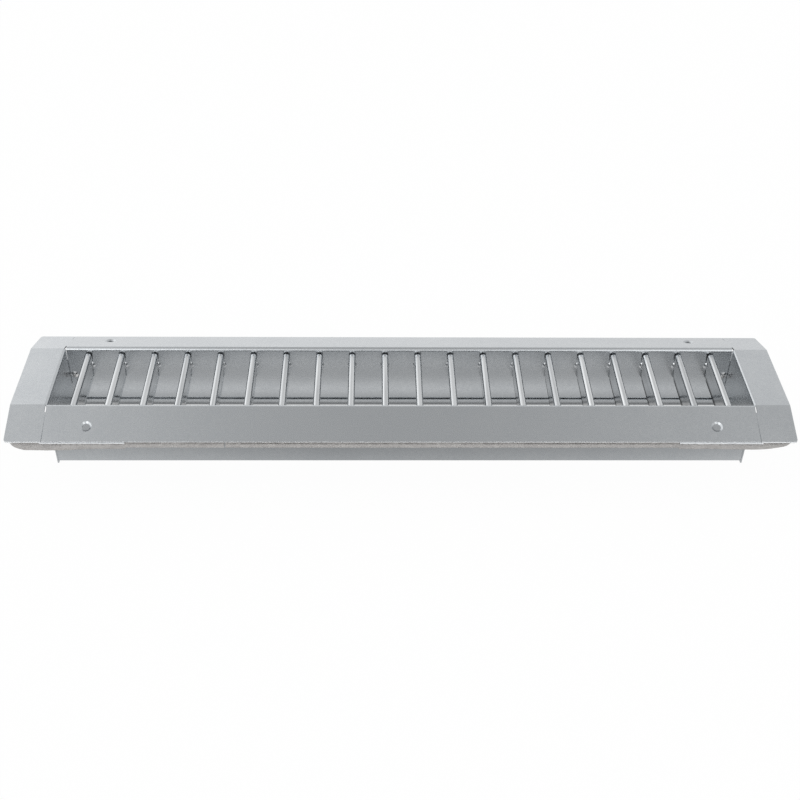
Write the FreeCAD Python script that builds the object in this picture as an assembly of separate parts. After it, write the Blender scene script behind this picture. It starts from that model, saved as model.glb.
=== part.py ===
import FreeCAD, Part
import math
import os

V = FreeCAD.Vector

# Driving dimensions in millimetres
# X runs along the grille, Y across it, Z up; the neck stands on Z = 0.
SHEET = 1.0
VANE_COUNT = 20
VANE_PITCH = 25.0
END_SPACE = 17.5
NECK_DEPTH = 55.0
NECK_HALF_WIDTH = 34.0
FACE_OVERHANG = 25.0
FACE_RUN = 29.0
FACE_DROP = 10.0
LIP_RISE = 1.3
LIP_BEND = 2.4
END_BEND = 1.8
LONG_WALL_FOOT = 1.2
LONG_WALL_END_GAP = 0.3
HEM_HEIGHT = 6.0
HEM_GAP = 0.6
HEM_SHORT = 4.0
END_WALL_TOP = 5.0
TONGUE_LENGTH = 58.0
TONGUE_LAP = 1.5
TONGUE_CLEARANCE = 2.6
FACE_SEAM = 0.4
FACE_CORNER_RADIUS = 2.0
EDGE_PROUD = 0.6
RELIEF_WIDTH = 1.4
RELIEF_LENGTH = 6.0

HOLE_FROM_NECK_END = 31.0
HOLE_UP_FROM_EDGE = 12.2
HOLE_DIAMETER = 5.6
DIMPLE_DIAMETER = 8.2
DIMPLE_DEPTH = 1.0
TONGUE_HOLE_DIAMETER = 11.0

GASKET_WIDTH = 7.0
GASKET_THICKNESS = 5.0
GASKET_INSET = 0.6
GASKET_CORNER_RADIUS = 9.0
GASKET_JOINT_SHARE = -0.45
GASKET_JOINT_GAP = 0.8

VANE_CHORD = 24.0
VANE_NOSE_RADIUS = 2.6
VANE_WALL = 0.5
VANE_MIDDLE_HALF = 1.8
VANE_HEM = 3.0
VANE_SEAM_UP = 0.5
VANE_SEAM_WIDTH = 1.1
VANE_SEAM_LEFT = 0.6
VANE_TOP_BELOW_LIP = 3.5
VANE_END_GAP = 1.6
PLUG_LENGTH = 8.0
PLUG_SHARE = 0.5
PIN_DIAMETER = 2.4
PIN_CLEARANCE = 0.05
PIN_PROUD = 0.5

BUSH_BARREL = 4.0
BUSH_FLANGE = 5.6
BUSH_FLANGE_THICKNESS = 0.6
BUSH_COLLAR = 7.6
BUSH_COLLAR_TOP = 4.8
BUSH_COLLAR_HEIGHT = 1.2

RIVET_FROM_NECK_END = 4.1
RIVET_BELOW_LIP = 24.6
RIVET_SHANK = 3.2
RIVET_HEAD = 6.0
RIVET_HEAD_HEIGHT = 1.1
RIVET_TAIL = 4.2
RIVET_TAIL_HEIGHT = 1.2
RIVET_CORE = 2.6
RIVET_CORE_DEPTH = 2.4
EAR_WIDTH = 12.0
EAR_TOP = 12.0
EAR_BOTTOM = 34.0

# Places worked out from the driving dimensions
NECK_HALF_LENGTH = (VANE_COUNT - 1) / 2 * VANE_PITCH + END_SPACE
FACE_HALF_LENGTH = NECK_HALF_LENGTH + FACE_OVERHANG
FOLD_HALF_WIDTH = NECK_HALF_WIDTH - SHEET / 2
FACE_HALF_WIDTH = FOLD_HALF_WIDTH + FACE_RUN
EDGE_Z = NECK_DEPTH - FACE_DROP
LONG_WALL_MIDDLE = NECK_HALF_WIDTH - SHEET / 2
LONG_WALL_HALF_LENGTH = NECK_HALF_LENGTH - SHEET - LONG_WALL_END_GAP
WALL_INNER = NECK_HALF_WIDTH - SHEET
END_WALL_INNER = NECK_HALF_LENGTH - SHEET
TONGUE_INNER_EDGE = NECK_HALF_WIDTH + TONGUE_CLEARANCE
TONGUE_START = END_WALL_INNER - TONGUE_LENGTH
SEAM_X = LONG_WALL_HALF_LENGTH + FACE_SEAM
TONGUE_END = SEAM_X + TONGUE_LAP
HOLE_X = NECK_HALF_LENGTH - HOLE_FROM_NECK_END
GASKET_JOINT_X = GASKET_JOINT_SHARE * FACE_HALF_LENGTH
VANE_HALF_LENGTH = WALL_INNER - VANE_END_GAP
PIVOT_BELOW_NOSE = VANE_CHORD / 2
PLUG_HALF_HEIGHT = PLUG_SHARE * PIVOT_BELOW_NOSE
NOSE_Z = NECK_DEPTH - VANE_TOP_BELOW_LIP
PIVOT_Z = NOSE_Z - PIVOT_BELOW_NOSE
BORE_DIAMETER = PIN_DIAMETER + 2 * PIN_CLEARANCE
RIVET_X = NECK_HALF_LENGTH - RIVET_FROM_NECK_END
RIVET_Z = NECK_DEPTH - RIVET_BELOW_LIP

# The two sloping planes, each named by its height at the fold: end facets, and the long flanges over them
END_PLANE = NECK_DEPTH
LONG_PLANE = NECK_DEPTH + LIP_RISE


def plane_slope(plane):
    """Angle at which a sloping plane falls from the fold to the outer edge."""
    return math.atan2(plane - EDGE_Z, FACE_RUN)


def plane_z(plane, y):
    """Height of a sloping plane at a distance y from the long middle."""
    return EDGE_Z + (FACE_HALF_WIDTH - abs(y)) * math.tan(plane_slope(plane))


def box(x0, x1, y0, y1, z0, z1):
    """A box from its limits along each axis."""
    return Part.makeBox(x1 - x0, y1 - y0, z1 - z0, V(x0, y0, z0))


def cylinder(radius, start, direction, height):
    """A cylinder from its start point along a direction."""
    return Part.makeCylinder(radius, height, start, direction)


def mirror_y(shape):
    """The shape on the other side of the grille's long middle plane."""
    return shape.mirror(V(0, 0, 0), V(0, 1, 0))


def mirror_x(shape):
    """The shape on the other side of the grille's short middle plane."""
    return shape.mirror(V(0, 0, 0), V(1, 0, 0))


def arc_edge(centre, start, end):
    """The short arc about a centre from start to end."""
    middle = (start - centre) + (end - centre)
    middle.normalize()
    radius = (start - centre).Length
    return Part.Arc(start, centre + middle * radius, end).toShape()


def side_edges(corners, shift):
    """Edges of one side of a bent strip; corners hold the rounded turns of its middle line."""
    edges = []
    last = None
    for kind, data in corners:
        if kind == "end":
            point, normal = data
            here = point + normal * shift
            if last is not None:
                edges.append(Part.LineSegment(last, here).toShape())
            last = here
            continue
        start, end, centre, normal_in, normal_out = data
        first = start + normal_in * shift
        second = end + normal_out * shift
        if last is not None and (first - last).Length > 1e-6:
            edges.append(Part.LineSegment(last, first).toShape())
        edges.append(arc_edge(centre, first, second))
        last = second
    return edges


def bent_strip(points, radii, thickness, axis):
    """A face: folded sheet seen end on, from its middle line and the middle radius of each bend."""
    corners = []
    count = len(points)
    for index, point in enumerate(points):
        if index in (0, count - 1):
            along = points[1] - points[0] if index == 0 else points[-1] - points[-2]
            along.normalize()
            corners.append(("end", (point, axis.cross(along))))
            continue
        along_in = points[index] - points[index - 1]
        along_out = points[index + 1] - points[index]
        along_in.normalize()
        along_out.normalize()
        turn = along_in.getAngle(along_out)
        reach = radii[index - 1] * math.tan(turn / 2)
        start = point - along_in * reach
        end = point + along_out * reach
        normal_in = axis.cross(along_in)
        normal_out = axis.cross(along_out)
        side = 1 if normal_in.dot(along_out) > 0 else -1
        centre = start + normal_in * (side * radii[index - 1])
        corners.append(("bend", (start, end, centre, normal_in, normal_out)))
    left = side_edges(corners, thickness / 2)
    right = side_edges(corners, -thickness / 2)
    first_cap = Part.LineSegment(right[0].Vertexes[0].Point, left[0].Vertexes[0].Point).toShape()
    last_cap = Part.LineSegment(left[-1].Vertexes[-1].Point, right[-1].Vertexes[-1].Point).toShape()
    wire = Part.Wire(Part.__sortEdges__(left + right + [first_cap, last_cap]))
    return Part.Face(wire)


def hole_frame(side_x, side_y):
    """Centre of a screw hole on the top of a long flange, and the outward normal there."""
    slope = plane_slope(LONG_PLANE)
    y = FACE_HALF_WIDTH - HOLE_UP_FROM_EDGE * math.cos(slope)
    normal = V(0, side_y * math.sin(slope), math.cos(slope))
    return V(side_x * HOLE_X, side_y * y, plane_z(LONG_PLANE, y)), normal


def dimple(side_x):
    """The pressed cone round a screw hole: the metal to add, then the space to cut."""
    top, normal = hole_frame(side_x, 1)
    down = normal * -1
    hole = HOLE_DIAMETER / 2
    rim = DIMPLE_DIAMETER / 2
    depth = DIMPLE_DEPTH + SHEET
    metal = Part.makeCone(rim + SHEET / 2, hole + SHEET / 2, depth, top, down)
    hollow = Part.makeCone(rim, hole, DIMPLE_DEPTH, top, down)
    bore = cylinder(hole, top, down, 2 * depth)
    return metal, hollow.fuse(bore)


def vane_x(index):
    """Where a vane's pivot stands along the grille."""
    return (index - (VANE_COUNT - 1) / 2) * VANE_PITCH


def side_panel():
    """The long folded sheet on the +Y side: sloping flange, lip, neck wall and hemmed foot."""
    slope = plane_slope(LONG_PLANE)
    middle_fall = SHEET / 2 / math.cos(slope)
    fold_z = plane_z(LONG_PLANE, LONG_WALL_MIDDLE) - middle_fall
    edge_y = FACE_HALF_WIDTH - SHEET / 2 * math.sin(slope)
    hem_y = LONG_WALL_MIDDLE - SHEET - HEM_GAP
    foot_z = LONG_WALL_FOOT + SHEET / 2
    hem_bend = (SHEET + HEM_GAP) / 2
    points = [
        V(0, edge_y, plane_z(LONG_PLANE, edge_y) - middle_fall),
        V(0, LONG_WALL_MIDDLE, fold_z),
        V(0, LONG_WALL_MIDDLE, foot_z),
        V(0, hem_y, foot_z),
        V(0, hem_y, LONG_WALL_FOOT + HEM_HEIGHT),
    ]
    radii = [LIP_BEND - SHEET / 2, hem_bend, hem_bend]
    section = bent_strip(points, radii, SHEET, V(1, 0, 0))
    section.translate(V(-LONG_WALL_HALF_LENGTH, 0, 0))
    panel = section.extrude(V(2 * LONG_WALL_HALF_LENGTH, 0, 0))

    hem_end = LONG_WALL_HALF_LENGTH - HEM_SHORT
    for side in (1, -1):
        x0, x1 = sorted((side * hem_end, side * NECK_HALF_LENGTH))
        panel = panel.cut(box(x0, x1, hem_y - SHEET, WALL_INNER, 0, 2 * HEM_HEIGHT))
        metal, space = dimple(side)
        panel = panel.fuse(metal).cut(space)
        shank = cylinder(RIVET_SHANK / 2, V(side * RIVET_X, 0, RIVET_Z), V(0, 1, 0), FACE_HALF_WIDTH)
        panel = panel.cut(shank)
    holes = [
        cylinder(BUSH_BARREL / 2, V(vane_x(index), 0, PIVOT_Z), V(0, 1, 0), NECK_HALF_WIDTH + 1)
        for index in range(VANE_COUNT)
    ]
    return panel.cut(Part.makeCompound(holes)).removeSplitter()


def slope_plate(plane, x0, x1, y0, y1, top_shift, thickness):
    """A flat plate along a sloping plane on the +Y side, between two distances across."""
    slope = plane_slope(plane)
    rise = top_shift / math.cos(slope)
    fall = thickness / math.cos(slope)
    corners = [
        V(x0, y0, plane_z(plane, y0) + rise),
        V(x0, y1, plane_z(plane, y1) + rise),
        V(x0, y1, plane_z(plane, y1) + rise - fall),
        V(x0, y0, plane_z(plane, y0) + rise - fall),
    ]
    return Part.Face(Part.makePolygon(corners + corners[:1])).extrude(V(x1 - x0, 0, 0))


def rounded_footprint(half_x, half_y, radius):
    """A tall rounded block used to trim things seen from above."""
    block = box(-half_x, half_x, -half_y, half_y, -NECK_DEPTH, 2 * NECK_DEPTH)
    upright = [edge for edge in block.Edges if abs(edge.BoundBox.ZLength - 3 * NECK_DEPTH) < 1e-6]
    return block.makeFillet(radius, upright)


def end_panel():
    """The end sheet on the +X side: flat facet, two sloping facets with tongues, and end wall."""
    wall_middle = NECK_HALF_LENGTH - SHEET / 2
    points = [
        V(FACE_HALF_LENGTH, 0, NECK_DEPTH - SHEET / 2),
        V(wall_middle, 0, NECK_DEPTH - SHEET / 2),
        V(wall_middle, 0, 0),
    ]
    section = bent_strip(points, [END_BEND - SHEET / 2], SHEET, V(0, 1, 0))
    section.translate(V(0, -FOLD_HALF_WIDTH, 0))
    panel = section.extrude(V(0, 2 * FOLD_HALF_WIDTH, 0))

    wall_half = NECK_HALF_WIDTH + EDGE_PROUD
    wall_top = NECK_DEPTH - END_WALL_TOP
    panel = panel.fuse(box(END_WALL_INNER, NECK_HALF_LENGTH, -wall_half, wall_half, 0, wall_top))

    slot_end = LONG_WALL_HALF_LENGTH + RELIEF_WIDTH
    relief_edge = FOLD_HALF_WIDTH + RELIEF_LENGTH
    edge = FACE_HALF_WIDTH
    wall_end = LONG_WALL_HALF_LENGTH
    wings = []
    for make in (lambda shape: shape, mirror_y):
        facet = slope_plate(END_PLANE, slot_end, FACE_HALF_LENGTH, FOLD_HALF_WIDTH, edge, 0, SHEET)
        margin = slope_plate(END_PLANE, SEAM_X, slot_end, relief_edge, edge, 0, SHEET)
        lap = slope_plate(LONG_PLANE, TONGUE_START, TONGUE_END, relief_edge, edge, -SHEET, SHEET)
        tongue = slope_plate(LONG_PLANE, TONGUE_START, wall_end, TONGUE_INNER_EDGE, edge, -SHEET, SHEET)
        wings += [make(facet), make(margin), make(lap), make(tongue)]
        ear = box(
            NECK_HALF_LENGTH - EAR_WIDTH,
            NECK_HALF_LENGTH,
            NECK_HALF_WIDTH,
            NECK_HALF_WIDTH + SHEET,
            NECK_DEPTH - EAR_BOTTOM,
            NECK_DEPTH - EAR_TOP,
        )
        wings.append(make(ear))
    panel = panel.fuse(wings)
    panel = panel.common(rounded_footprint(FACE_HALF_LENGTH, FACE_HALF_WIDTH, FACE_CORNER_RADIUS))

    for side in (1, -1):
        centre, normal = hole_frame(1, side)
        start = centre - normal * (3 * SHEET)
        panel = panel.cut(cylinder(TONGUE_HOLE_DIAMETER / 2, start, normal, 4 * SHEET))
        shank = cylinder(RIVET_SHANK / 2, V(RIVET_X, 0, RIVET_Z), V(0, side, 0), FACE_HALF_WIDTH)
        panel = panel.cut(shank)
    return panel.removeSplitter()


def gasket_layer(plane, x0, x1, top_shift, bottom_shift):
    """Foam that hangs under the roof-shaped face between two places along the grille."""
    thickness = top_shift - bottom_shift
    fold = FOLD_HALF_WIDTH
    layer = box(x0, x1, -fold, fold, NECK_DEPTH + bottom_shift, NECK_DEPTH + top_shift)
    wing = slope_plate(plane, x0, x1, fold, FACE_HALF_WIDTH, top_shift, thickness)
    return layer.fuse([wing, mirror_y(wing)])


def sealing_gasket():
    """One foam strip laid round under the outer edge of the face, its ends meeting at the front."""
    low = -2 * SHEET - GASKET_THICKNESS
    middle = gasket_layer(LONG_PLANE, -TONGUE_START, TONGUE_START, -SHEET, low + SHEET)
    under_tongue = gasket_layer(LONG_PLANE, TONGUE_START, TONGUE_END, -2 * SHEET, low)
    under_end = gasket_layer(END_PLANE, TONGUE_END, FACE_HALF_LENGTH, -SHEET, low)
    ends = [under_tongue, under_end, mirror_x(under_tongue), mirror_x(under_end)]
    strip = middle.fuse(ends)
    outer_x = FACE_HALF_LENGTH - GASKET_INSET
    outer_y = FACE_HALF_WIDTH - GASKET_INSET
    outer = rounded_footprint(outer_x, outer_y, GASKET_CORNER_RADIUS)
    inner_radius = GASKET_CORNER_RADIUS - GASKET_WIDTH
    inner = rounded_footprint(outer_x - GASKET_WIDTH, outer_y - GASKET_WIDTH, inner_radius)
    strip = strip.common(outer.cut(inner))
    half_gap = GASKET_JOINT_GAP / 2
    joint = box(GASKET_JOINT_X - half_gap, GASKET_JOINT_X + half_gap, -FACE_HALF_WIDTH, 0, 0, NECK_DEPTH)
    return strip.cut(joint).removeSplitter()


def vane_outline(nose, waist, tail_z, tail):
    """One closed teardrop outline; z runs down from the nose of the vane."""
    top = V(0, 0, VANE_NOSE_RADIUS - nose)
    left = V(-nose, 0, 0)
    right = V(nose, 0, 0)
    shift = V(0, 0, -VANE_NOSE_RADIUS)
    arc = Part.Arc(left + shift, V(0, 0, nose) + shift, right + shift).toShape()
    waist_z = -PIVOT_BELOW_NOSE
    corners = [right + shift, V(waist, 0, waist_z)]
    corners += [V(side * tail, 0, tail_z) for side in ((1, -1) if tail else (1,))]
    corners += [V(-waist, 0, waist_z), left + shift]
    lines = [Part.LineSegment(a, b).toShape() for a, b in zip(corners, corners[1:])]
    return Part.Face(Part.Wire([arc] + lines))


def vane():
    """A folded sheet vane at the middle of the grille: hollow teardrop with a hemmed tail."""
    body = vane_outline(VANE_NOSE_RADIUS, VANE_MIDDLE_HALF, -VANE_CHORD, VANE_WALL)
    hollow_tail = -VANE_CHORD + VANE_HEM
    inner_nose = VANE_NOSE_RADIUS - VANE_WALL
    inner_waist = VANE_MIDDLE_HALF - VANE_WALL
    hollow = vane_outline(inner_nose, inner_waist, hollow_tail, 0)
    length = V(0, 2 * VANE_HALF_LENGTH, 0)
    hem = box(0, 2 * VANE_WALL, 0, 2 * VANE_HALF_LENGTH, -VANE_CHORD, hollow_tail)
    long_edges = [
        edge for edge in hem.Edges
        if edge.BoundBox.YLength > VANE_HALF_LENGTH
        and edge.BoundBox.ZMax < hollow_tail - 1
        and edge.BoundBox.XMin > VANE_WALL
    ]
    hem = hem.makeFillet(VANE_WALL, long_edges)
    seam_z = VANE_SEAM_UP - VANE_CHORD
    seam_floor = 2 * VANE_WALL - VANE_SEAM_LEFT
    seam = box(-VANE_NOSE_RADIUS, seam_floor, 0, 2 * VANE_HALF_LENGTH, seam_z, seam_z + VANE_SEAM_WIDTH)
    shape = body.extrude(length).fuse(hem).cut(hollow.extrude(length)).cut(seam).removeSplitter()
    shape.translate(V(0, -VANE_HALF_LENGTH, NOSE_Z))
    return shape


def vane_pins():
    """The two plugs that fill the upper ends of a middle vane, each with its pivot pin."""
    inner_waist = VANE_MIDDLE_HALF - VANE_WALL
    nose = VANE_NOSE_RADIUS
    start = VANE_HALF_LENGTH - PLUG_LENGTH
    block = box(-nose, nose, start, VANE_HALF_LENGTH, -PLUG_HALF_HEIGHT, PIVOT_BELOW_NOSE)
    hollow_tail = -VANE_CHORD + VANE_HEM
    hollow = vane_outline(VANE_NOSE_RADIUS - VANE_WALL, inner_waist, hollow_tail, 0)
    hollow.translate(V(0, start, PIVOT_BELOW_NOSE))
    plug = block.common(hollow.extrude(V(0, PLUG_LENGTH, 0)))
    pin_length = NECK_HALF_WIDTH + BUSH_FLANGE_THICKNESS + PIN_PROUD - VANE_HALF_LENGTH
    pin = cylinder(PIN_DIAMETER / 2, V(0, VANE_HALF_LENGTH, 0), V(0, 1, 0), pin_length)
    plug = plug.fuse(pin)
    plug.translate(V(0, 0, PIVOT_Z))
    return Part.makeCompound([plug, mirror_y(plug)])


def pivot_bush(index, side):
    """One bush where a vane's pin turns in the wall: domed collar inside, flange outside."""
    along = V(0, 1, 0)
    wall = V(vane_x(index), WALL_INNER, PIVOT_Z)
    outer = wall + along * SHEET
    start = wall - along * BUSH_COLLAR_HEIGHT
    length = BUSH_COLLAR_HEIGHT + SHEET + BUSH_FLANGE_THICKNESS
    collar = Part.makeCone(BUSH_COLLAR_TOP / 2, BUSH_COLLAR / 2, BUSH_COLLAR_HEIGHT, start, along)
    bush = cylinder(BUSH_BARREL / 2, start, along, length)
    bush = bush.fuse([collar, cylinder(BUSH_FLANGE / 2, outer, along, BUSH_FLANGE_THICKNESS)])
    bush = bush.cut(cylinder(BORE_DIAMETER / 2, start - along, along, length + 2)).removeSplitter()
    return bush if side > 0 else mirror_y(bush)


def rivet(side_x, side_y):
    """One blind rivet, its head inside, through a long wall and the ear of an end panel."""
    out = V(0, 1, 0)
    inner = V(RIVET_X, WALL_INNER, RIVET_Z)
    grip = 2 * SHEET
    outer = inner + out * grip
    body = cylinder(RIVET_SHANK / 2, inner, out, grip)
    tail = cylinder(RIVET_TAIL / 2, outer, out, RIVET_TAIL_HEIGHT)
    dome_radius = ((RIVET_HEAD / 2) ** 2 + RIVET_HEAD_HEIGHT ** 2) / (2 * RIVET_HEAD_HEIGHT)
    crown = inner - out * RIVET_HEAD_HEIGHT
    ball = Part.makeSphere(dome_radius, crown + out * dome_radius)
    head = ball.common(cylinder(RIVET_HEAD / 2, crown, out, RIVET_HEAD_HEIGHT))
    core = cylinder(RIVET_CORE / 2, crown, out, RIVET_CORE_DEPTH)
    shape = body.fuse([tail, head]).cut(core).removeSplitter()
    if side_x < 0:
        shape = mirror_x(shape)
    return shape if side_y > 0 else mirror_y(shape)


def save(name, shape):
    """Write one node as a STEP file."""
    shape.exportStep("parts/" + name + ".step")


os.makedirs("parts", exist_ok=True)

rear_panel = side_panel()
save("rear_side_panel", rear_panel)
save("front_side_panel", mirror_y(rear_panel))

right_panel = end_panel()
save("right_end_panel", right_panel)
save("left_end_panel", mirror_x(right_panel))

save("sealing_gasket", sealing_gasket())

bushes = [pivot_bush(index, side) for index in range(VANE_COUNT) for side in (1, -1)]
save("pivot_bushes", Part.makeCompound(bushes))

rivets = [rivet(side_x, side_y) for side_x in (1, -1) for side_y in (1, -1)]
save("corner_rivets", Part.makeCompound(rivets))

one_vane = vane()
one_pair_of_pins = vane_pins()
for index in range(VANE_COUNT):
    place = V(vane_x(index), 0, 0)
    label = "%02d" % (index + 1)
    blade = one_vane.copy()
    blade.translate(place)
    save("blade_" + label, blade)
    pins = one_pair_of_pins.copy()
    pins.translate(place)
    save("blade_pins_" + label, pins)
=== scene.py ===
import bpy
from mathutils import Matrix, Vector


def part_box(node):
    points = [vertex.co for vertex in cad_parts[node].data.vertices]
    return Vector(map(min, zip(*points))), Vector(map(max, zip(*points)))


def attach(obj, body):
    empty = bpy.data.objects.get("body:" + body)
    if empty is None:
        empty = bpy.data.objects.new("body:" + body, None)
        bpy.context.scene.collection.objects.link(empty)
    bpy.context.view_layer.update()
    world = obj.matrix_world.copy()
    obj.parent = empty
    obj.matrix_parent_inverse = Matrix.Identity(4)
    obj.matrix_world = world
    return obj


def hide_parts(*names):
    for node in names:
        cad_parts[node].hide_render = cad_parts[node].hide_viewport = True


bl_info = {
    "name": "Duct Grille Dressing",
    "version": (1, 0, 0),
    "blender": (4, 5, 0),
    "location": "3D View > Sidebar > Grille",
    "description": "Gives the galvanised duct grille its finishes, its foam seal and its studio",
    "category": "Object",
}

import math

import bmesh
import bpy
from mathutils import Matrix, Vector, noise

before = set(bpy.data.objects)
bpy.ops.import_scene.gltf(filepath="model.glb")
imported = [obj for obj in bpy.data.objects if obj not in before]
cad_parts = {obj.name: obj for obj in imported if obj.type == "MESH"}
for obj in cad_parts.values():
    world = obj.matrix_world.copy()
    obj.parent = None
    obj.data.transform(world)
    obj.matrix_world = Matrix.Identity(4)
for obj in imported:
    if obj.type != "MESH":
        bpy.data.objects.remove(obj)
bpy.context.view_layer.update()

PLATES = ("front_side_panel", "rear_side_panel", "left_end_panel", "right_end_panel")
END_PLATES = ("left_end_panel", "right_end_panel")
VANES = tuple(sorted(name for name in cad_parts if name.startswith("blade_") and "pins" not in name))
PINS = tuple(sorted(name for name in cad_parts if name.startswith("blade_pins_")))

# Places on the grille in metres, read from the solids, with the middle of the neck's foot as zero
NECK_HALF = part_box("pivot_bushes")[1].y
NECK_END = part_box("front_side_panel")[1].x
FACE_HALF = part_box("rear_side_panel")[1].y
FACE_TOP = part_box("left_end_panel")[1].z
GRILLE_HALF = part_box("right_end_panel")[1].x
VANE_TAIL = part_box("blade_01")[0].z

# Sizes in metres that the boxes of the solids don't tell
MM = 0.001
SHEET = 1.0 * MM
FLANGE_REACH = 29.0 * MM
FACE_FALL = 10.0 * MM
FOLD_HALF = FACE_HALF - FLANGE_REACH
SLOT_REACH = 2.0 * MM
SLOT_DEPTH = 4.0 * MM
VANE_HEM = 4.0 * MM

# Foam seal: the glued top holds still, the part below it hangs near the front corners
FOAM_HELD = 2.0 * MM
FOAM_LOOSE = 4.0 * MM
SAG_STARTS = 65.0 * MM
SAG_FULL = 35.0 * MM

# Each end of the foam: side, hang in millimetres, pinch at the very end in millimetres, reach of the pinch
FOAM_ENDS = (
    (-1, 1.5, 3.2, 16.0 * MM),
    (1, 0.6, 3.6, 24.0 * MM),
)

# Narrow recess along the top of the foam's outer face, under the edge of the sheet
RECESS_HEIGHT = 3.2 * MM
RECESS = 1.2 * MM
FOAM_SKIN = 2.0 * MM

# Painted shade and light on the floor as the metal mirrors it, at places along Y in metres, from the front
# to the back
FLOOR_SHADE = (
    (-FACE_HALF * 1.8, 0.92),
    (-FACE_HALF * 1.3, 0.38),
    (-FACE_HALF * 0.88, 0.42),
    (-NECK_HALF, 0.55),
    (-NECK_HALF * 0.85, 0.82),
    (-NECK_HALF * 0.6, 0.66),
    (-NECK_HALF * 0.3, 0.42),
    (NECK_HALF * 0.35, 0.84),
    (NECK_HALF * 0.64, 0.55),
    (NECK_HALF * 0.72, 0.80),
    (NECK_HALF * 0.77, 0.0),
    (NECK_HALF * 0.82, 0.45),
    (FACE_HALF * 0.75, 0.45),
    (FACE_HALF * 0.88, 0.42),
    (FACE_HALF * 1.3, 0.50),
    (FACE_HALF * 1.8, 0.92),
)


def linear(hex_code):
    """An sRGB hex colour as Blender's linear RGBA."""
    parts = [int(hex_code[start:start + 2], 16) / 255 for start in (0, 2, 4)]
    return tuple(v / 12.92 if v <= 0.04045 else ((v + 0.055) / 1.055) ** 2.4 for v in parts) + (1.0,)


def per_mm(size_mm):
    """Texture scale at which one feature of a pattern is about this many millimetres wide."""
    return 1.0 / (size_mm * MM)


def add_node(tree, kind, settings=None, inputs=None):
    """Add one shader node with its settings; an input is a plain value or another node's socket."""
    node = tree.nodes.new(kind)
    for key, value in (settings or {}).items():
        setattr(node, key, value)
    for key, value in (inputs or {}).items():
        socket = node.inputs[key]
        if isinstance(value, bpy.types.NodeSocket):
            tree.links.new(value, socket)
        else:
            socket.default_value = value
    return node


def new_material(name):
    """An empty node material with its output node."""
    material = bpy.data.materials.new(name)
    material.use_nodes = True
    tree = material.node_tree
    tree.nodes.clear()
    return material, tree, add_node(tree, "ShaderNodeOutputMaterial")


def remap(tree, source, low, high, start=0.0, end=1.0):
    """A value that runs from start to end, brought to run from low to high and held past both."""
    inputs = {"Value": source, "From Min": start, "From Max": end, "To Min": low, "To Max": high}
    return add_node(tree, "ShaderNodeMapRange", inputs=inputs).outputs["Result"]


def product(tree, first, second):
    """Two values or sockets multiplied."""
    return add_node(tree, "ShaderNodeMath", {"operation": "MULTIPLY"}, {0: first, 1: second}).outputs[0]


def level_along(tree, source, stops):
    """A grey level that follows stops of (place, level) from the first to the last, with soft turns."""
    start = stops[0][0]
    end = stops[-1][0]
    share = remap(tree, source, 0.0, 1.0, start, end)
    node = add_node(tree, "ShaderNodeValToRGB", inputs={"Fac": share})
    elements = node.color_ramp.elements
    node.color_ramp.interpolation = "EASE"
    while len(elements) < len(stops):
        elements.new(0.5)
    for element, (place, level) in zip(elements, stops):
        element.position = (place - start) / (end - start)
        element.color = (level, level, level, 1.0)
    return node.outputs["Color"]


def painted_shade_over_hem(tree, coordinates, depth):
    """Painted shade over the open side of a vane's hem, which faces left: 1 on the rest of the metal, less
    over the hem.
    """
    place = add_node(tree, "ShaderNodeSeparateXYZ", inputs={"Vector": coordinates["Object"]}).outputs
    facing = add_node(tree, "ShaderNodeSeparateXYZ", inputs={"Vector": coordinates["Normal"]}).outputs
    low = remap(tree, place["Z"], 1.0, 0.0, VANE_TAIL + VANE_HEM * 0.9, VANE_TAIL + VANE_HEM * 1.1)
    left = remap(tree, facing["X"], 1.0, 0.0, -0.7, -0.4)
    return remap(tree, product(tree, low, left), 1.0, 1.0 - depth)


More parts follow.
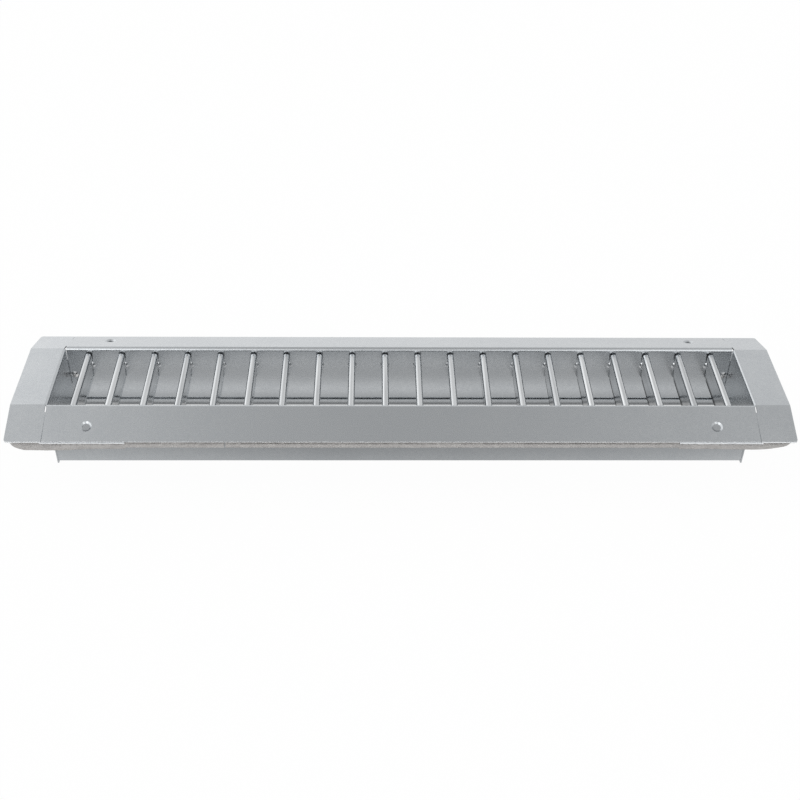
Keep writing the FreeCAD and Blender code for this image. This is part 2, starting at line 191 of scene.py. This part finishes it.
def zinc_surface(name, pale, dark, roughness, grain_mm, cloud_mm, bump_mm, drawn_out=1.0, hem_painted_shade=0.0):
    """Metal with a fine mottled grain over soft clouds, drawn out across the grille where it was rolled,
    with painted shade over a vane's open hem when asked.
    """
    blotch_mm = grain_mm * 2.6
    cloud_share = 0.45
    roughness_spread = 0.06
    material, tree, output = new_material(name)
    coordinates = add_node(tree, "ShaderNodeTexCoord").outputs
    place = add_node(
        tree, "ShaderNodeMapping",
        inputs={"Vector": coordinates["Object"], "Scale": (1.0, 1.0 / drawn_out, 1.0)},
    ).outputs[0]
    grain = add_node(
        tree, "ShaderNodeTexNoise",
        inputs={"Vector": place, "Scale": per_mm(grain_mm), "Detail": 5.0, "Roughness": 0.62},
    ).outputs["Fac"]
    clouds = add_node(
        tree, "ShaderNodeTexNoise",
        inputs={"Vector": place, "Scale": per_mm(cloud_mm), "Detail": 2.0, "Distortion": 0.6},
    ).outputs["Fac"]
    blotches = add_node(
        tree, "ShaderNodeTexVoronoi", {"feature": "SMOOTH_F1"},
        {"Vector": place, "Scale": per_mm(blotch_mm), "Smoothness": 0.7},
    ).outputs["Distance"]
    speckle = product(tree, grain, remap(tree, blotches, 0.75, 1.2))
    tone = add_node(
        tree, "ShaderNodeMix", {"data_type": "FLOAT"},
        {"Factor": cloud_share, "A": remap(tree, speckle, 0.0, 1.0, 0.28, 0.72), "B": clouds},
    ).outputs[0]
    colour = add_node(
        tree, "ShaderNodeMix", {"data_type": "RGBA"},
        {"Factor": tone, "A": linear(dark), "B": linear(pale)},
    ).outputs[2]
    # Painted shade: the open side of a vane's hem is darkened, standing in for the shade in its seam
    if hem_painted_shade:
        colour = add_node(
            tree, "ShaderNodeVectorMath", {"operation": "SCALE"},
            {0: colour, "Scale": painted_shade_over_hem(tree, coordinates, hem_painted_shade)},
        ).outputs[0]
    matt = remap(tree, tone, roughness + roughness_spread, roughness - roughness_spread)
    bump = add_node(
        tree, "ShaderNodeBump",
        inputs={"Height": grain, "Strength": 0.35, "Distance": bump_mm * MM},
    ).outputs["Normal"]
    shader = add_node(
        tree, "ShaderNodeBsdfPrincipled",
        inputs={"Base Color": colour, "Metallic": 1.0, "Roughness": matt, "Normal": bump},
    )
    tree.links.new(shader.outputs["BSDF"], output.inputs["Surface"])
    return material


def foam_surface(name, pale, dark, cell_mm):
    """Open-cell foam, cut with a blade: matt, warm grey, pitted by its cells with painted shade toward
    their rims, with faint wide stains.
    """
    stain_mm = cell_mm * 7
    pit_mm = cell_mm * 0.5
    material, tree, output = new_material(name)
    place = add_node(tree, "ShaderNodeTexCoord").outputs["Object"]
    cells = add_node(
        tree, "ShaderNodeTexVoronoi", {"feature": "F1"}, {"Vector": place, "Scale": per_mm(cell_mm)}
    ).outputs["Distance"]
    stain = add_node(
        tree, "ShaderNodeTexNoise",
        inputs={"Vector": place, "Scale": per_mm(stain_mm), "Detail": 3.0},
    ).outputs["Fac"]
    # Painted shade: each cell darkens from its middle to its rim, where the bump sinks; the wide stains are
    # the foam's own tone
    cell_tone = remap(tree, cells, 1.0, 0.35, 0.0, 0.8)
    stain_tone = remap(tree, stain, 0.5, 1.3, 0.3, 0.7)
    tone = product(tree, cell_tone, stain_tone)
    colour = add_node(
        tree, "ShaderNodeMix", {"data_type": "RGBA"},
        {"Factor": tone, "A": linear(dark), "B": linear(pale)},
    ).outputs[2]
    bump = add_node(
        tree, "ShaderNodeBump",
        inputs={"Height": tone, "Strength": 0.6, "Distance": pit_mm * MM},
    ).outputs["Normal"]
    shader = add_node(
        tree, "ShaderNodeBsdfPrincipled",
        inputs={"Base Color": colour, "Roughness": 0.95, "Normal": bump},
    )
    tree.links.new(shader.outputs["BSDF"], output.inputs["Surface"])
    return material


def painted_floor_shade_in_mirror(tree):
    """Painted shade on the floor's glow as the metal mirrors it: dim under the flanges and the vanes,
    brighter past them.
    """
    place = add_node(tree, "ShaderNodeTexCoord").outputs["Object"]
    spot = add_node(tree, "ShaderNodeSeparateXYZ", inputs={"Vector": place}).outputs
    across = level_along(tree, spot["Y"], FLOOR_SHADE)
    # Painted light: outside the neck and not far from it, the floor grows brighter toward the two ends
    outward = product(tree, spot["X"], spot["X"])
    away = add_node(tree, "ShaderNodeMath", {"operation": "ABSOLUTE"}, {0: spot["Y"]}).outputs[0]
    close_by = remap(tree, away, 1.0, 0.0, FACE_HALF * 1.6, FACE_HALF * 2.2)
    outside = remap(tree, away, 0.0, 1.0, NECK_HALF * 0.94, NECK_HALF * 1.02)
    near_ends = remap(tree, outward, 0.0, 0.38, 0.0, GRILLE_HALF ** 2)
    gain = product(tree, near_ends, product(tree, close_by, outside))
    toward_ends = add_node(tree, "ShaderNodeMath", {"operation": "ADD"}, {0: gain, 1: 1.0}).outputs[0]
    # Painted light: the left end of the floor is a little brighter than the right one
    lean = remap(tree, spot["X"], 1.04, 0.92, -0.6, 0.6)
    return product(tree, product(tree, across, toward_ends), lean)


def floor_surface(name, paint, whiteness):
    """Matt white studio floor that nearly melts into the background and keeps a soft shadow; the metal
    mirrors it as a glow with painted shade.
    """
    material, tree, output = new_material(name)
    paint_shader = add_node(
        tree, "ShaderNodeBsdfPrincipled", inputs={"Base Color": linear(paint), "Roughness": 0.9}
    ).outputs["BSDF"]
    path = add_node(tree, "ShaderNodeLightPath").outputs
    mirrored = add_node(
        tree, "ShaderNodeMath", {"operation": "MAXIMUM"},
        {0: path["Is Glossy Ray"], 1: path["Is Transmission Ray"]},
    ).outputs[0]
    seen = product(tree, path["Is Camera Ray"], whiteness)
    amount = add_node(tree, "ShaderNodeMath", {"operation": "MAXIMUM"}, {0: seen, 1: mirrored}).outputs[0]
    # Painted shade: to the metal the floor glows with a brightness set by its place
    strength = add_node(
        tree, "ShaderNodeMix", {"data_type": "FLOAT"},
        {"Factor": mirrored, "A": 1.0, "B": painted_floor_shade_in_mirror(tree)},
    ).outputs[0]
    white = add_node(
        tree, "ShaderNodeEmission", inputs={"Color": (1.0, 1.0, 1.0, 1.0), "Strength": strength}
    ).outputs[0]
    blend = add_node(tree, "ShaderNodeMixShader", inputs={0: amount, 1: paint_shader, 2: white})
    tree.links.new(blend.outputs[0], output.inputs["Surface"])
    return material


def dress(names, material):
    """Give carried-over nodes their finish and smooth shading across their bends."""
    crease = math.radians(28)
    for name in names:
        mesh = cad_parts[name].data
        mesh.materials.clear()
        mesh.materials.append(material)
        mesh.shade_smooth()
        mesh.set_sharp_from_angle(angle=crease)


def paint_faces(names, material, chosen):
    """Add a second finish to some sheets and give it to the faces that a test picks."""
    for name in names:
        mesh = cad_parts[name].data
        mesh.materials.append(material)
        last = len(mesh.materials) - 1
        for face in mesh.polygons:
            if chosen(face):
                face.material_index = last


def on_sheared_edge(face):
    """Whether a face lies on the cut outer edge of the grille's face."""
    at_side = abs(face.center.y) > FACE_HALF - SHEET
    at_end = abs(face.center.x) > GRILLE_HALF - SHEET / 5
    return (at_side or at_end) and face.normal.z < 0.2 and face.center.z > FACE_TOP / 2


def in_rear_slot(face):
    """Whether a face is a cut side of one of the two relief slots at the back."""
    past_neck = abs(face.center.x) - NECK_END
    at_slot = 0.0 < past_neck < SLOT_REACH and abs(face.normal.x) > 0.9
    return at_slot and face.center.y > NECK_HALF - SHEET and face.center.z > FACE_TOP - SLOT_DEPTH


class SheetSettings(bpy.types.PropertyGroup):
    """Finish of the galvanised sheet."""
    pale: bpy.props.StringProperty(
        name="Pale zinc", description="Lighter tone of the zinc grain, sRGB hex", default="D5D8DA"
    )
    dark: bpy.props.StringProperty(
        name="Dark zinc", description="Darker tone of the zinc grain, sRGB hex", default="BDC1C5"
    )
    vane_pale: bpy.props.StringProperty(
        name="Pale vane", description="Lighter tone of the vane strip, sRGB hex", default="F0F2F3"
    )
    vane_dark: bpy.props.StringProperty(
        name="Dark vane", description="Darker tone of the vane strip, sRGB hex", default="A8ABAE"
    )
    vane_streak: bpy.props.FloatProperty(
        name="Vane streaks", description="How much longer than wide the rolled streaks are",
        default=60.0, min=1.0,
    )
    # How dark the painted shade over the open side of a vane's hem is
    hem_painted_shade: bpy.props.FloatProperty(
        name="Hem shade", description="Darkening of the open side of a vane's hem",
        default=0.93, min=0.0, max=1.0,
    )
    roughness: bpy.props.FloatProperty(
        name="Roughness", description="Mean roughness of the zinc", default=0.27, min=0.0, max=1.0
    )
    grain_mm: bpy.props.FloatProperty(
        name="Grain", description="Width of one zinc grain in millimetres", default=1.1, min=0.2
    )
    cloud_mm: bpy.props.FloatProperty(
        name="Clouds", description="Width of the soft lighter and darker clouds in millimetres",
        default=38.0, min=1.0,
    )


class SealSettings(bpy.types.PropertyGroup):
    """Shape and colour of the foam seal."""
    pale: bpy.props.StringProperty(
        name="Pale foam", description="Lit cell walls, sRGB hex", default="B5B3B1"
    )
    # The dark foam tone is painted shade toward the rims of the cells, and also the tone of the darker
    # stains
    dark: bpy.props.StringProperty(
        name="Dark foam", description="Inside of the cells, sRGB hex", default="939190"
    )
    cell_mm: bpy.props.FloatProperty(
        name="Cell", description="Width of one foam cell in millimetres", default=0.9, min=0.2
    )
    ragged_mm: bpy.props.FloatProperty(
        name="Raggedness", description="How far the cut face wanders in millimetres", default=0.35, min=0.0
    )


class StudioSettings(bpy.types.PropertyGroup):
    """Camera and floor."""
    eye: bpy.props.FloatVectorProperty(
        name="Camera place", description="Where the camera stands", subtype="TRANSLATION", unit="LENGTH",
        default=(-0.02152, -0.69915, 0.59884),
    )
    yaw: bpy.props.FloatProperty(
        name="Yaw", description="Turn of the camera to the right", subtype="ANGLE",
        default=math.radians(1.66),
    )
    pitch: bpy.props.FloatProperty(
        name="Pitch", description="Tilt of the camera downwards", subtype="ANGLE",
        default=math.radians(39.01),
    )
    roll: bpy.props.FloatProperty(
        name="Roll", description="Lean of the camera", subtype="ANGLE", default=math.radians(1.11)
    )
    lens_mm: bpy.props.FloatProperty(
        name="Lens", description="Focal length on a 36 mm wide sensor, in millimetres", default=53.91
    )
    floor: bpy.props.StringProperty(
        name="Floor", description="Floor paint, sRGB hex", default="F2F2F2"
    )


class GRILLE_OT_dress_plates(bpy.types.Operator):
    """Zinc finish for the two long panels and the two end panels"""
    bl_idname = "grille.dress_plates"
    bl_label = "Dress the panels"

    def execute(self, context):
        look = context.scene.grille_sheet
        # Hot-dip galvanised sheet steel: a dull grey mirror with a fine mottled grain and wide soft clouds
        zinc = zinc_surface(
            "galvanised_sheet_steel", look.pale, look.dark, look.roughness,
            look.grain_mm, look.cloud_mm, bump_mm=0.02,
        )
        dress(PLATES, zinc)
        # Edge of the sheet as the shear left it: matt, and paler than the sheet as a painted highlight
        # along its rounded edge
        cut = zinc_surface(
            "sheared_edge_painted_highlight", "F4F5F6", "E8EAEC", roughness=0.85,
            grain_mm=0.6, cloud_mm=6.0, bump_mm=0.01,
        )
        paint_faces(PLATES, cut, on_sheared_edge)
        # Painted shade on the punched sides of the two rear slots: a dark metal standing in for the shade
        # inside the slots
        slot_painted_shade = zinc_surface(
            "painted_shade_slot_sides", "3A3C3E", "242628", roughness=0.6,
            grain_mm=0.6, cloud_mm=6.0, bump_mm=0.01,
        )
        paint_faces(END_PLATES, slot_painted_shade, in_rear_slot)
        return {"FINISHED"}


class GRILLE_OT_dress_vanes(bpy.types.Operator):
    """Brighter rolled zinc strip for the tilting vanes"""
    bl_idname = "grille.dress_vanes"
    bl_label = "Dress the vanes"

    def execute(self, context):
        look = context.scene.grille_sheet
        # Zinc-coated strip, cold rolled: shinier than the sheet, with fine streaks along each vane, and a
        # painted shade over the open side of each hem
        strip = zinc_surface(
            "rolled_zinc_strip", look.vane_pale, look.vane_dark, look.roughness - 0.1,
            look.grain_mm * 1.3, look.cloud_mm, bump_mm=0.01,
            drawn_out=look.vane_streak, hem_painted_shade=look.hem_painted_shade,
        )
        dress(VANES, strip)
        return {"FINISHED"}


class GRILLE_OT_dress_hardware(bpy.types.Operator):
    """Bright finish for the pins, bushes and rivets"""
    bl_idname = "grille.dress_hardware"
    bl_label = "Dress the small hardware"

    def execute(self, context):
        # Zinc-plated turned steel: bright, nearly even
        plated = zinc_surface(
            "zinc_plated_steel", "E6E8EA", "CDD0D3", roughness=0.27,
            grain_mm=0.6, cloud_mm=4.0, bump_mm=0.005,
        )
        dress(PINS + ("pivot_bushes",), plated)
        # Drawn aluminium of the blind rivets: whiter and softer than the zinc
        drawn = zinc_surface(
            "drawn_aluminium", "F2F2F2", "E4E4E4", roughness=0.33,
            grain_mm=0.5, cloud_mm=5.0, bump_mm=0.005,
        )
        dress(("corner_rivets",), drawn)
        return {"FINISHED"}


class GRILLE_OT_foam_seal(bpy.types.Operator):
    """Foam strip with a ragged cut edge, in the place of the plain CAD ring"""
    bl_idname = "grille.foam_seal"
    bl_label = "Make the foam seal"

    def execute(self, context):
        look = context.scene.grille_seal
        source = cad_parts["sealing_gasket"]
        mesh = source.data.copy()
        seal = bpy.data.objects.new("foam_seal_strip", mesh)
        context.scene.collection.objects.link(seal)
        roughen_foam(mesh, look.ragged_mm * MM)
        mesh.materials.clear()
        mesh.materials.append(foam_surface("open_cell_foam", look.pale, look.dark, look.cell_mm))
        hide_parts("sealing_gasket")
        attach(seal, "frame")
        return {"FINISHED"}


def smooth_share(value, start, end):
    """0 before start, 1 after end, with a smooth turn between them."""
    share = min(max((value - start) / (end - start), 0.0), 1.0)
    return share * share * (3.0 - 2.0 * share)


def depth_below_face(spot):
    """How far a spot lies below the top of the face, which falls away past its long folds."""
    past_fold = (abs(spot.y) - FOLD_HALF) / (FACE_HALF - FOLD_HALF)
    return FACE_TOP - FACE_FALL * min(max(past_fold, 0.0), 1.0) - spot.z


def foam_sag(spot):
    """How far the foam hangs down at a spot: loose near the front corners, pinched at the very ends."""
    depth = min(max((depth_below_face(spot) - FOAM_HELD) / FOAM_LOOSE, 0.0), 1.0)
    front = smooth_share(-spot.y, 20.0 * MM, FACE_HALF * 0.8)
    hang_mm = 0.0
    for side, loose_mm, pinch_mm, pinch_reach in FOAM_ENDS:
        toward_end = side * spot.x
        hang_mm += loose_mm * smooth_share(toward_end, GRILLE_HALF - SAG_STARTS, GRILLE_HALF - SAG_FULL)
        hang_mm -= pinch_mm * smooth_share(toward_end, GRILLE_HALF - pinch_reach, GRILLE_HALF)
    return hang_mm * front * depth * MM


def shrink_from_edge(spot, place):
    """Draw the top of the foam's outer face in, so that a dark line shows under the edge of the sheet."""
    if depth_below_face(spot) > RECESS_HEIGHT:
        return
    if abs(spot.y) > FACE_HALF - FOAM_SKIN:
        place.y -= math.copysign(RECESS, spot.y)
    if abs(spot.x) > GRILLE_HALF - FOAM_SKIN:
        place.x -= math.copysign(RECESS, spot.x)


def cut_finely(work, longest):
    """Halve the edges of a mesh, round after round, until none is longer than this."""
    most_rounds = 9
    bmesh.ops.triangulate(work, faces=work.faces)
    for _ in range(most_rounds):
        long_edges = [edge for edge in work.edges if edge.calc_length() > longest]
        if not long_edges:
            break
        bmesh.ops.subdivide_edges(work, edges=long_edges, cuts=1)
        bmesh.ops.triangulate(work, faces=work.faces)


def roughen_foam(mesh, reach):
    """Cut the foam ring finely, let its cut faces wander inside their own space, and let it sag."""
    coarse = per_mm(3.0)
    fine = per_mm(1.3)
    work = bmesh.new()
    work.from_mesh(mesh)
    bmesh.ops.remove_doubles(work, verts=work.verts, dist=1e-6)
    cut_finely(work, 3.0 * MM)
    work.normal_update()
    places = []
    for vert in work.verts:
        spot = vert.co.copy()
        place = spot.copy()
        # The glued top stays flat
        if vert.normal.z < 0.5:
            wander = noise.noise(spot * coarse) + 0.5 * noise.noise(spot * fine)
            place -= vert.normal * reach * (0.5 + 0.5 * wander)
        place.z -= foam_sag(spot)
        shrink_from_edge(spot, place)
        places.append((vert, place))
    for vert, place in places:
        vert.co = place
    work.to_mesh(mesh)
    work.free()
    mesh.shade_flat()


class GRILLE_OT_studio(bpy.types.Operator):
    """White floor, lit dome, soft lamp and the camera at the photograph's angle"""
    bl_idname = "grille.studio"
    bl_label = "Set up the studio"

    def execute(self, context):
        look = context.scene.grille_studio
        make_floor(context, look.floor)
        make_sky(context)
        make_lamp(context)
        make_camera(context, look)
        context.scene.view_settings.view_transform = "Standard"
        return {"FINISHED"}


def make_floor(context, paint):
    """A wide pale floor under the foot of the neck."""
    half = 3.0
    mesh = bpy.data.meshes.new("studio_floor")
    corners = [(-half, -half, 0), (half, -half, 0), (half, half, 0), (-half, half, 0)]
    mesh.from_pydata(corners, [], [(0, 1, 2, 3)])
    floor = bpy.data.objects.new("studio_floor", mesh)
    context.scene.collection.objects.link(floor)
    mesh.materials.append(floor_surface("matt_white_floor", paint, whiteness=0.97))


def make_sky(context):
    """A studio dome: white at the horizon, darker overhead, two bright windows behind the camera."""
    world = bpy.data.worlds.new("studio_dome")
    world.use_nodes = True
    tree = world.node_tree
    tree.nodes.clear()
    output = add_node(tree, "ShaderNodeOutputWorld")
    direction = add_node(tree, "ShaderNodeTexCoord").outputs["Generated"]
    toward = add_node(tree, "ShaderNodeSeparateXYZ", inputs={"Vector": direction}).outputs
    sideways = product(tree, toward["X"], toward["X"])
    # From the white horizon to the dim ceiling, which is dimmest straight above
    overhead = remap(tree, toward["Z"], 0.0, 1.0, start=0.35, end=0.97)
    ceiling = remap(tree, sideways, 0.43, 0.68, start=0.0, end=0.08)
    level = add_node(
        tree, "ShaderNodeMix", {"data_type": "FLOAT"}, {"Factor": overhead, "A": 1.0, "B": ceiling}
    ).outputs[0]
    # A little brighter to the left, and again on the far left
    lean = remap(tree, toward["X"], 1.14, 0.82, start=-0.3, end=0.6)
    left_wall = remap(tree, toward["X"], 1.2, 1.0, start=-0.62, end=-0.3)
    # Behind the camera a window stands on each side, with a dimmer gap between them
    behind_camera = remap(tree, toward["Y"], 1.0, 0.0, start=-0.6, end=-0.25)
    inner_side = remap(tree, sideways, 0.7, 1.85, start=0.0, end=0.07)
    outer_side = remap(tree, sideways, 1.85, 0.9, start=0.22, end=0.42)
    two_windows = add_node(
        tree, "ShaderNodeMath", {"operation": "MINIMUM"}, {0: inner_side, 1: outer_side}
    ).outputs[0]
    front = add_node(
        tree, "ShaderNodeMix", {"data_type": "FLOAT"}, {"Factor": behind_camera, "A": 1.0, "B": two_windows}
    ).outputs[0]
    lit = product(tree, product(tree, level, lean), product(tree, left_wall, front))
    # The camera itself sees plain white
    camera_ray = add_node(tree, "ShaderNodeLightPath").outputs["Is Camera Ray"]
    strength = add_node(
        tree, "ShaderNodeMix", {"data_type": "FLOAT"}, {"Factor": camera_ray, "A": lit, "B": 1.0}
    ).outputs[0]
    background = add_node(
        tree, "ShaderNodeBackground", inputs={"Color": (1.0, 1.0, 1.0, 1.0), "Strength": strength}
    )
    tree.links.new(background.outputs[0], output.inputs["Surface"])
    context.scene.world = world


def make_lamp(context):
    """One wide soft lamp high at the back left, as the brighter left flanges show."""
    light = bpy.data.lights.new("overhead_softbox", "AREA")
    light.shape = "SQUARE"
    light.size = 1.8
    light.energy = 6.0
    lamp = bpy.data.objects.new("overhead_softbox", light)
    place = Vector((-0.5, 0.3, 2.4))
    lamp.location = place
    # The metal mirrors the dome alone
    lamp.visible_glossy = False
    lamp.rotation_euler = (-place).to_track_quat("-Z", "Y").to_euler()
    context.scene.collection.objects.link(lamp)


def make_camera(context, look):
    """The camera where the photograph was taken from, worked out from the grille's own edges."""
    forward = Vector((
        math.sin(look.yaw) * math.cos(look.pitch),
        math.cos(look.yaw) * math.cos(look.pitch),
        -math.sin(look.pitch),
    ))
    level_right = Vector((math.cos(look.yaw), -math.sin(look.yaw), 0))
    level_up = level_right.cross(forward)
    right = level_right * math.cos(look.roll) + level_up * math.sin(look.roll)
    up = right.cross(forward)
    turn = Matrix((right, up, -forward)).transposed().to_4x4()
    data = bpy.data.cameras.new("photo_camera")
    data.sensor_width = 36.0
    data.lens = look.lens_mm
    data.clip_start = 10.0 * MM
    camera = bpy.data.objects.new("photo_camera", data)
    camera.matrix_world = Matrix.Translation(Vector(look.eye)) @ turn
    context.scene.collection.objects.link(camera)
    context.scene.camera = camera


class GRILLE_PT_dressing(bpy.types.Panel):
    """Sidebar panel with the grille's steps and settings"""
    bl_idname = "GRILLE_PT_dressing"
    bl_label = "Duct grille"
    bl_space_type = "VIEW_3D"
    bl_region_type = "UI"
    bl_category = "Grille"

    def draw(self, context):
        scene = context.scene
        for step in STEPS:
            self.layout.operator(step.bl_idname)
        for group in (scene.grille_sheet, scene.grille_seal, scene.grille_studio):
            box = self.layout.box()
            for key in group.__annotations__:
                box.prop(group, key)


STEPS = (
    GRILLE_OT_dress_plates,
    GRILLE_OT_dress_vanes,
    GRILLE_OT_dress_hardware,
    GRILLE_OT_foam_seal,
    GRILLE_OT_studio,
)
CLASSES = (SheetSettings, SealSettings, StudioSettings) + STEPS + (GRILLE_PT_dressing,)


def register():
    for cls in CLASSES:
        bpy.utils.register_class(cls)
    bpy.types.Scene.grille_sheet = bpy.props.PointerProperty(type=SheetSettings)
    bpy.types.Scene.grille_seal = bpy.props.PointerProperty(type=SealSettings)
    bpy.types.Scene.grille_studio = bpy.props.PointerProperty(type=StudioSettings)


def unregister():
    del bpy.types.Scene.grille_studio
    del bpy.types.Scene.grille_seal
    del bpy.types.Scene.grille_sheet
    for cls in reversed(CLASSES):
        bpy.utils.unregister_class(cls)


def main():
    """Run every step in order."""
    register()
    bpy.ops.grille.dress_plates()
    bpy.ops.grille.dress_vanes()
    bpy.ops.grille.dress_hardware()
    bpy.ops.grille.foam_seal()
    bpy.ops.grille.studio()


if __name__ == "__main__":
    main()
